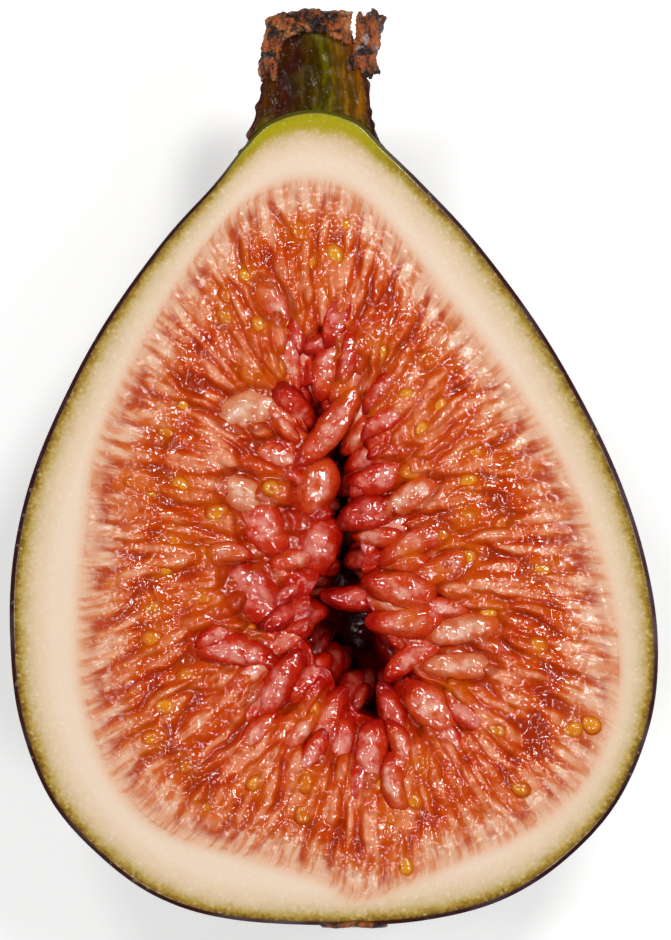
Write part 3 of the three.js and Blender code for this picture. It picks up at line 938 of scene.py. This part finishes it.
def joined_balls(name, ball_mesh, shapes, material):
    """One piece from shaped copies of the ball. Each shape is its points in mm and its named notes."""
    bm = bmesh.new()
    for _ in shapes:
        bm.from_mesh(ball_mesh)
    mesh = mesh_of(name, bm)
    mesh.vertices.foreach_set("co", (np.concatenate([points for points, _ in shapes]) * MM).ravel())
    for note in shapes[0][1]:
        layer = mesh.attributes.new(note, "FLOAT", "POINT")
        layer.data.foreach_set("value", np.concatenate([notes[note] for _, notes in shapes]))
    mesh.shade_smooth()
    mesh.materials.append(material)
    piece = put_in_scene(name, mesh)
    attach(piece, "root")
    return piece


def set_down(along, across, up, place, heading, dip=0.0):
    """Points given along, across and up from a heading that dips, set down at a place."""
    turn = math.radians(heading)
    pitch = math.radians(dip)
    forward = along * math.cos(pitch) + up * math.sin(pitch)
    level = up * math.cos(pitch) - along * math.sin(pitch)
    x = place[0] + forward * math.cos(turn) - across * math.sin(turn)
    y = place[1] + forward * math.sin(turn) + across * math.cos(turn)
    return np.stack([x, y, place[2] + level], axis=-1)


lobe_ball, lobe_points = new_ball(LOBE_COLUMNS, LOBE_ROWS)


def shape_lobe(place, heading, length, width, height, dip, ripeness, rng):
    """One lobe: an egg with a drawn-out tip and a sunk tail, bent and creased."""
    side, up, along = lobe_points.T
    point = rng.uniform(0.0, 0.45) if width > 1.9 else rng.uniform(0.2, 0.7)
    bend = rng.uniform(-0.10, 0.10)
    ahead = np.maximum(along, 0)
    behind = np.maximum(-along, 0)
    girth = (1 - 0.15 * along - 0.5 * point * ahead**2) * (1 - 0.25 * behind**1.5)
    girth = girth * np.maximum(1 - along**2, 0.001) ** -0.13
    roll = np.arctan2(up, side)
    crease = 1 + 0.06 * np.sin(3 * roll + rng.uniform(0, math.tau) + 2.5 * along)
    crease += 0.03 * np.sin(7 * roll + rng.uniform(0, math.tau) + 4.0 * along)
    crease += 0.05 * ripple(side * 2 + heading, along * length + up, 1.5, rng.randint(0, 999), layers=8)
    full = along * (1.25 - 0.25 * along**2)
    forward = full * length / 2 * (1 + 0.25 * point * ahead**3)
    across = side * girth * crease * width / 2 + bend * length * along**2
    rise = up * girth * crease * height / 2 - 0.25 * height * behind**2
    points = set_down(forward, across, rise, place, heading, dip)
    sunk = np.clip((CUT_MM - points[:, 2] - 1.2) / 4.5, 0, 1)
    notes = {
        "ripeness": np.full(len(points), ripeness),
        "top": 0.5 + 0.5 * up,
        "tip": 0.5 + 0.5 * along,
        "sunk": sunk,
        "golden": golden_glow(points[:, 0], points[:, 1]) * (points[:, 2] > CUT_MM - 2),
    }
    return points, notes


def golden_glow(x, y):
    """How near a place is to a seed, from 0 to 1."""
    gaps = np.array([np.hypot(x - spot[0], y - spot[1]) for spot in SHOWN_SEEDS])
    return np.exp(-((gaps.min(axis=0) / LOBE_GLOW_WIDTH) ** 2))


bed_points = np.zeros(len(floret_bed.data.vertices) * 3)
floret_bed.data.vertices.foreach_get("co", bed_points)
bed_points = bed_points.reshape(-1, 3) / MM


def bed_top(x, y):
    """The height of the floret bed at a place, in mm."""
    near = np.hypot(bed_points[:, 0] - x, bed_points[:, 1] - y) < BED_TOP_REACH
    return bed_points[near, 2].mean()


def rule_place(around, share_out):
    """A place by the hollow's rim, that share of the way out to the wall, and the heading inward there."""
    rim = hollow_edge.at(np.array([around]))[0]
    outer = pulp_edge.at(np.array([around]))[0]
    place = rim + (outer - rim) * share_out
    return place, math.degrees(math.atan2(rim[1] - outer[1], rim[0] - outer[0]))


def grow_lobes():
    """The lobes that show in the photograph, more round the rim by rule, and others down the walls."""
    rng = random.Random(LOBE_DRAW)
    shapes = []
    for x, y, heading, length, width, lift, ripeness in SHOWN_LOBES:
        place = (x, y, CUT_MM + lift - 0.25)
        shapes.append(shape_lobe(place, heading, length, width, width * 0.72, 4, ripeness, rng))
    taken = [(x, y) for x, y, *_ in SHOWN_LOBES] + SHOWN_SEEDS
    for _ in range(PACKED_LOBES):
        share_out = rng.uniform(0.06, 0.40)
        spot, heading = rule_place(rng.random(), share_out)
        if all(math.dist(spot, other) > PACKED_SPACING for other in taken):
            taken.append(tuple(spot))
            width = rng.uniform(1.5, 2.2)
            place = (*spot, bed_top(*spot) + rng.uniform(-0.50, -0.20))
            turn = heading + rng.uniform(-14, 14)
            ripeness = rng.uniform(0.3, 0.75)
            shapes.append(shape_lobe(place, turn, width * 2.2, width, width * 0.7, 4, ripeness, rng))
    for i in range(RIM_LOBES):
        spot, heading = rule_place((i + rng.uniform(0.2, 0.8)) / RIM_LOBES, rng.uniform(0.02, 0.14))
        width = rng.uniform(1.4, 2.2)
        place = (*spot, CUT_MM - rng.uniform(0.8, 1.6))
        turn = heading + rng.uniform(-18, 18)
        ripeness = rng.uniform(0.35, 0.95)
        shapes.append(shape_lobe(place, turn, width * 2.2, width, width, rng.uniform(12, 32), ripeness, rng))
    for i in range(WALL_LOBES):
        sink = rng.uniform(1.8, 6.0)
        spot, heading = rule_place((i + rng.uniform(0.1, 0.9)) / WALL_LOBES, 0)
        spot = spot + (HOLLOW_MIDDLE - spot) * 0.05 * sink
        width = rng.uniform(1.3, 2.2)
        turn = heading + rng.uniform(-25, 25)
        place = (*spot, CUT_MM - sink)
        shapes.append(shape_lobe(place, turn, width * 2, width, width, rng.uniform(20, 60), 0.9, rng))
    return shapes


# Colours by ripeness, from pale to red: on top of a lobe, on its body and low on its flanks.
# Paler on top and darker down the flanks by which way the surface faces: partly the jelly's own colour,
# partly painted light and shade.
RIPENESS = (0.0, 0.3, 0.6, 1.0)
LIT_CROWN_COLOURS = screen_colours((244, 222, 200), (243, 188, 162), (239, 162, 144), (214, 66, 44))
BODY_COLOURS = screen_colours((230, 174, 132), (210, 84, 28), (203, 44, 10), (168, 8, 0))
SHADED_FLANK_COLOURS = screen_colours((208, 100, 28), (188, 38, 0), (168, 10, 0), (112, 0, 0))


def lobe_material():
    """Wet jelly, pale or pink on top and red down its flanks and at its tip, partly as painted light and
    shade, and darker deep in the hollow as painted shade.
    """
    material, tree, shader = new_material("plump_lobe")
    place = object_place(tree)
    sunk = note_of(tree, "sunk")
    veins = noise(tree, place, 1100, detail=4)
    patches = noise(tree, place, 420, detail=3)
    run = unsettled(tree, note_of(tree, "ripeness"), [(patches, 0.5)])
    level = unsettled(tree, note_of(tree, "top"), [(veins, 0.55), (patches, 0.3)])
    by_tip = remap(tree, note_of(tree, "tip"), 0.7, 1.0)
    level = maths(tree, "SUBTRACT", level, maths(tree, "MULTIPLY", by_tip, 0.3))
    flank = colour_run(tree, run, RIPENESS, SHADED_FLANK_COLOURS)
    body = colour_run(tree, run, RIPENESS, BODY_COLOURS)
    crown = colour_run(tree, run, RIPENESS, LIT_CROWN_COLOURS)
    # Painted light and shade in part: paler where the lobe faces up, redder where its flanks turn down.
    colour = mixed(tree, remap(tree, level, 0.60, 0.90), flank, body)
    colour = mixed(tree, remap(tree, level, 0.87, 1.11), colour, crown)
    glow = maths(tree, "MULTIPLY", note_of(tree, "golden"), 0.8)
    colour = mixed(tree, glow, colour, GOLDEN_JELLY)
    juicy = remap(tree, sunk, 0.3, 0.9, 1, 0.6)
    # Lobes sunk deep into the hollow are darkened with painted shade.
    finish = {
        "Base Color": mixed(tree, sunk, colour, HOLLOW_SHADE_RED),
        "Roughness": placed(tree, juice, Share=juicy, Dry=0.12),
        "Specular IOR Level": JUICE_SHINE,
        "Subsurface Weight": 0.12,
        "Subsurface Radius": JELLY_GLOW,
        "Subsurface Scale": 0.8 * MM,
        "Normal": placed(tree, wet_film, Grain=950, Strength=0.8),
    }
    join_up(tree, shader, finish)
    return material


joined_balls("plump_lobes", lobe_ball, grow_lobes(), lobe_material())


# Seeds
# Each floret holds one hard golden seed, an egg that narrows to one end. It lies along its strand
# and shows through the wet jelly as a bright bead.
SEED_LENGTH = 1.95
SEED_WIDTH = 1.45
SEED_HEIGHT = 1.0
SEED_SINK = 0.38
EGG_DRAW = 5
SEED_GOLD = from_screen(232, 152, 30)
SEED_AMBER = from_screen(192, 70, 0)
SEED_COLUMNS = 18
SEED_ROWS = 12
seed_ball, seed_points = new_ball(SEED_COLUMNS, SEED_ROWS)


def seed_material():
    """Hard golden seed under a clear wet skin, paler gold on top and deeper amber low on its sides, partly
    as painted highlight and shade.
    """
    material, tree, shader = new_material("golden_seed")
    cloud = noise(tree, object_place(tree), 900, detail=3)
    level = unsettled(tree, note_of(tree, "top"), [(cloud, 0.6)])
    # Gold on top and amber low down by which way the surface faces: partly jelly over the sides, partly
    # painted highlight and shade.
    colour = mixed(tree, remap(tree, level, 0.72, 1.08), SEED_AMBER, SEED_GOLD)
    shade = remap(tree, note_of(tree, "shade"), 0, 1, 0, 0.7)
    finish = {
        "Base Color": mixed(tree, shade, colour, MIDWAY_LEVELS[3]),
        "Roughness": 0.12,
        "Specular IOR Level": 0.5,
        "Subsurface Weight": 0.25,
        "Subsurface Radius": (1.0, 0.5, 0.1),
        "Subsurface Scale": 0.6 * MM,
        "Normal": placed(tree, wet_film, Grain=1300, Strength=0.3),
    }
    join_up(tree, shader, finish)
    return material


def grow_seeds():
    """Every seed: an egg lying along its strand, sunk until little more than its top shows."""
    rng = random.Random(EGG_DRAW)
    shapes = []
    for x, y in scatter_seeds():
        along, across, up = seed_points.T * 0.5
        heading = math.degrees(math.atan2(1 - 0.6 * y, -x)) + rng.uniform(-30, 30)
        size = rng.uniform(0.75, 1.1)
        place = (x, y, bed_top(x, y) - SEED_SINK + rng.uniform(-0.15, 0.15))
        points = set_down(
            along * SEED_LENGTH * size,
            across * SEED_WIDTH * size * (1 - 0.5 * along),
            up * SEED_HEIGHT * size,
            place,
            heading,
        )
        notes = {"top": 0.5 + up, "shade": np.full(len(points), rng.random() ** 2)}
        shapes.append((points, notes))
    return shapes


joined_balls("golden_seeds", seed_ball, grow_seeds(), seed_material())


# Stalk
# The short green stalk was cut with the fruit, so its olive inside shows between two strips of rind.
# Old sap has stained it purple-brown on the left, and it turns amber on the right.
STALK_STATIONS = [
    (-7.2, 31.2, 4.4),
    (-6.5, 32.4, 3.5),
    (-5.9, 34.2, 2.8),
    (-5.4, 36.2, 2.6),
    (-4.9, 38.2, 2.1),
    (-4.5, 39.8, 1.6),
    (-3.6, 40.9, 1.0),
]
STALK_DROP = 0.1
RIND_DROP = 0.15
RIND_WIDTH = 0.4
END_SHARE = 0.03
STALK_COLUMNS = 160
STALK_ROWS = 90
# Colours across the cut face of the stalk, from its left edge to its right.
STALK_PLACES = (0.0, 0.22, 0.45, 0.60, 0.72, 1.0)
STALK_COLOURS = screen_colours(
    (96, 52, 6), (66, 22, 16), (76, 56, 0), (98, 90, 0), (122, 92, 0), (150, 84, 0)
)
STALK_LOW = from_screen(104, 96, 12)
STALK_FIBRE = from_screen(34, 16, 4)
STALK_END = from_screen(60, 40, 10)
RIND_PURPLE = from_screen(62, 28, 26)
RIND_BROWN = from_screen(104, 66, 40)
stalk_run = smooth_line(STALK_STATIONS, 30, closed=False)


def place_stalk(around, down):
    """The stalk: half round, flat on top, closed at both ends."""
    along = np.clip((down - END_SHARE) / (1 - 2 * END_SHARE), 0, 1)
    rows = np.linspace(0, 1, len(stalk_run))
    left = np.interp(along, rows, stalk_run[:, 0])
    y = np.interp(along, rows, stalk_run[:, 1])
    right = np.interp(along, rows, stalk_run[:, 2])
    open_share = np.clip(np.minimum(down, 1 - down) / END_SHARE, 0, 1)
    half_width = (right - left) / 2 * open_share
    on_top = around < 0.5
    across = np.cos(around * math.tau)
    under = np.where(on_top, 0, -np.sin(around * math.tau))
    rough = 1 + np.where(on_top, 0.0, 0.05) * ripple(y * 1.5, around * 14, 2.0, 41)
    x = (left + right) / 2 + half_width * across * rough
    rind_gap = half_width * (1 - np.abs(across))
    drop = RIND_DROP * (1 - np.clip(rind_gap / RIND_WIDTH, 0, 1)) ** 2
    relief = 0.05 * ripple(x * 2, y, 1.6, 42) * np.clip(rind_gap / 0.8, 0, 1)
    sunk = 0.5 * (1 - blend_in(y, 33.0, 35.4))
    top = CUT_MM - STALK_DROP - drop + relief - sunk
    below = CUT_MM - STALK_DROP - RIND_DROP - half_width * under * rough
    z = np.where(on_top, top, below)
    notes = {
        "rind_gap": np.where(on_top, rind_gap, 0.0),
        "along": along,
        "across": across,
    }
    return np.stack([x, y, z], axis=-1), notes


def stalk_material():
    """Moist olive wood with a stain, an amber side and a green streak, inside a purple-brown rind."""
    material, tree, shader = new_material("stalk_inside_and_rind")
    place = object_place(tree)
    along = note_of(tree, "along")
    fibres = noise(tree, stretched(tree, place, (1, 0.3, 1)), 1800, detail=4)
    blots = noise(tree, place, 520, detail=4)
    side = unsettled(tree, note_of(tree, "across"), [(blots, 0.9)])
    over_face = maths(tree, "ADD", maths(tree, "MULTIPLY", side, 0.5), 0.5)
    inside = colour_run(tree, over_face, STALK_PLACES, STALK_COLOURS)
    low = remap(tree, unsettled(tree, along, [(blots, 0.225)]), 0.22, 0.40, 0.8, 0)
    inside = mixed(tree, low, inside, STALK_LOW)
    inside = mixed(tree, remap(tree, fibres, 0.42, 0.66, 0.65, 0), inside, STALK_FIBRE)
    inside = mixed(tree, remap(tree, along, 0.90, 0.97), inside, STALK_END)
    rind = mixed(tree, remap(tree, blots, 0.4, 0.6), RIND_PURPLE, RIND_BROWN)
    rind_edge = unsettled(tree, note_of(tree, "rind_gap"), [(blots, 0.36)])
    film = placed(tree, wet_film, Grain=1300, Strength=0.25)
    finish = {
        "Base Color": mixed(tree, remap(tree, rind_edge, 0.15, 0.4, 1, 0), inside, rind),
        "Roughness": remap(tree, blots, 0.3, 0.7, 0.1, 0.3),
        "Specular IOR Level": 0.07,
        "Normal": bumped(tree, fibres, 0.35, 0.2, over=film),
    }
    join_up(tree, shader, finish)
    return material


stalk = wrapped_grid("cut_stalk", STALK_COLUMNS, STALK_ROWS, place_stalk)
stalk.data.materials.append(stalk_material())
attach(stalk, "root")
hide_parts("stalk")


# Dry scales
# Bracts that closed the bud dry to thin brown flakes and stay round the top of the stalk. The end
# itself, where the fruit came off the twig, dried to a crumpled crust.
STALK_X = -1.4
STALK_HALF = 4.0
STALK_TAPER = 0.14
TAPER_FROM = 36.2
# Each scale's start and end are degrees round the stalk, and its other sizes are in mm.
DRY_SCALES = {
    "dry_scale_left": {"start": 184, "end": 222, "low": 37.5, "high": 40.7, "over": 1.05, "flare": 0.25},
    "dry_scale_back": {"start": 232, "end": 300, "low": 38.0, "high": 40.9, "over": 0.0, "flare": 1.0},
    "dry_scale_right": {"start": 356, "end": 312, "low": 37.6, "high": 41.7, "over": 1.8, "flare": 1.7},
}
OVER_SHARE = 0.45
FLAKE_THICKNESS = 0.28
CRUST_THICKNESS = 0.3
CRUST_LEFT = -5.0
CRUST_RIGHT = 1.2
CRUST_Y = 42.1
CRUST_OVER = 1.7
CRUST_DEPTH = 2.7
DRY_BROWN = from_screen(168, 84, 26)
DRY_DARK = from_screen(52, 20, 6)
DRY_PALE = from_screen(208, 146, 92)
DRY_GAP_SHADE = from_screen(14, 5, 2)
DRY_GREY_GLINT = from_screen(150, 150, 160)


def dry_material():
    """Dry bract: rusty brown with paler blotches and ribbed, dark in its folds partly as painted shade, with
    painted grey glints and painted black shade in its gaps.
    """
    material, tree, shader = new_material("dry_scale")
    place = object_place(tree)
    ribs = noise(tree, stretched(tree, place, (1, 0.25, 1)), 1700, detail=5, roughness=0.65)
    blots = noise(tree, place, 480, detail=4)
    grey_glints = noise(tree, place, 900, detail=2)
    gaps = noise(tree, stretched(tree, place, (1, 1.6, 1)), 620, detail=3)
    # Dark between the ribs: partly the bract's own darker lines, partly painted shade in its folds.
    colour = mixed(tree, remap(tree, ribs, 0.38, 0.62), DRY_DARK, DRY_BROWN)
    colour = mixed(tree, remap(tree, blots, 0.52, 0.72, 0, 0.8), colour, DRY_PALE)
    # Painted glints: grey flecks where the crumpled scale would catch the light.
    colour = mixed(tree, remap(tree, grey_glints, 0.60, 0.68, 0, 0.8), colour, DRY_GREY_GLINT)
    # Painted shade: near-black patches for the shadowed gaps in the crumpled scale.
    finish = {
        "Base Color": mixed(tree, remap(tree, gaps, 0.38, 0.48, 0.95, 0), colour, DRY_GAP_SHADE),
        "Roughness": 0.55,
        "Normal": bumped(tree, ribs, 0.9, 0.25),
    }
    join_up(tree, shader, finish)
    return material


def new_piece(name, bm, material):
    """A finished piece of dried scale from a bmesh: smooth, and riding on the fruit."""
    bmesh.ops.recalc_face_normals(bm, faces=bm.faces)
    mesh = mesh_of(name, bm)
    mesh.shade_smooth()
    mesh.materials.append(material)
    piece = put_in_scene(name, mesh)
    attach(piece, "root")
    return piece


def bent_sheet(name, columns, rows, thickness, place, material):
    """A thin sheet bent by place(across, along) in mm, and thickened."""
    bm = bmesh.new()
    bmesh.ops.create_grid(bm, x_segments=columns, y_segments=rows, size=0.5)
    for vert in bm.verts:
        vert.co = Vector(place(vert.co.x + 0.5, vert.co.y + 0.5)) * MM
    piece = new_piece(name, bm, material)
    shell = piece.modifiers.new("thickness", "SOLIDIFY")
    shell.thickness = thickness * MM
    shell.offset = 0
    return piece


def crumpled(across, along, seed):
    """Uneven folds of dried leaf, from about -1 to 1."""
    fold = 0.5 * math.sin(9 * across + 5 * along + seed) + 0.4 * math.sin(13 * along - 6 * across + seed)
    fold += 0.30 * math.sin(27 * across + 11 * along + 2 * seed)
    fold += 0.22 * math.sin(47 * across - 29 * along) + 0.14 * math.sin(83 * across + 61 * along)
    return fold


dry_finish = dry_material()
for name, shape in DRY_SCALES.items():

    def place_scale(across, along, shape=shape):
        """A point of the scale: over the edge of the stalk, then down its side, torn at its ends."""
        start = shape["start"]
        fold = crumpled(across, along, start)
        tear = math.sin(11 * across + start) + 0.6 * math.sin(27 * across) + 0.4 * math.sin(61 * across)
        y = shape["low"] + (shape["high"] - shape["low"]) * along + 0.7 * tear * (along - 0.45)
        over = shape["over"] * max(0, 1 - across / OVER_SHARE)
        down = max(0, across - OVER_SHARE) / (1 - OVER_SHARE) if shape["over"] else across
        angle = math.radians(start + (shape["end"] - start) * down)
        taper = STALK_TAPER * (y - TAPER_FROM)
        reach = STALK_HALF - taper + shape["flare"] * (0.35 + 0.65 * along) - over
        reach += 0.22 * fold
        lift = 0.42 + 0.28 * fold * min(1, over + 0.4) if over else 0.42 * (1 - down)
        return (STALK_X + reach * math.cos(angle), y, CUT_MM + reach * math.sin(angle) + lift)

    scale = bent_sheet(name + "_flake", 90, 60, FLAKE_THICKNESS, place_scale, dry_finish)
    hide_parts(name)


def place_crust(across, down):
    """A point of the crust: flat over the broken end of the stalk first, then rounded down over it."""
    fold = crumpled(1.6 * across, down, 4)
    arch = 0.45 * (math.sin(math.pi * across) - (1 - across) ** 3)
    over = CRUST_OVER * max(0, 1 - down / OVER_SHARE) * (1.0 + 0.2 * math.sin(7 * across + 1))
    drop = max(0, down - OVER_SHARE) / (1 - OVER_SHARE)
    depth = CRUST_DEPTH * math.sqrt(max(0.05, 1 - (2 * across - 1) ** 2))
    x = CRUST_LEFT + (CRUST_RIGHT - CRUST_LEFT) * across + 0.12 * fold
    y = CRUST_Y - 0.35 + arch * 0.8 - over + 0.16 * fold
    z = CUT_MM + 0.35 + 0.30 * fold * (1 - drop) - drop * depth
    return (x, y, z)


crust = bent_sheet("dried_stalk_end", 130, 70, CRUST_THICKNESS, place_crust, dry_finish)
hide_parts("stalk_end_crust")


# Eye
# The fruit's mouth is at its base, closed by two rings of small stiff scales. The knife halved them
# too, and they have dried to the same brown as the scales by the stalk.
EYE_X = 1.5
EYE_Y = -25.55
EYE_SCALES = 13
EYE_RINGS = (0.8, 1.5)
EYE_DRAW = 3
eye_bm = bmesh.new()
eye_rng = random.Random(EYE_DRAW)
for i in range(EYE_SCALES):
    turn = math.pi * (1 + (i + 0.5) / EYE_SCALES)
    reach = EYE_RINGS[i % 2]
    made = bmesh.ops.create_uvsphere(eye_bm, u_segments=12, v_segments=8, radius=0.5)
    for vert in made["verts"]:
        along = vert.co.x * 2.4
        across = vert.co.z * 1.3 * (1 - 0.6 * vert.co.x)
        out = vert.co.y * 0.5 + 0.25 * vert.co.x
        vert.co = (
            (EYE_X + (reach + along) * math.cos(turn) - across * math.sin(turn)) * MM,
            (EYE_Y - out + eye_rng.uniform(-0.03, 0.03)) * MM,
            (CUT_MM - 0.05 + (reach + along) * math.sin(turn) + across * math.cos(turn)) * MM,
        )
new_piece("eye_scales", eye_bm, dry_finish)
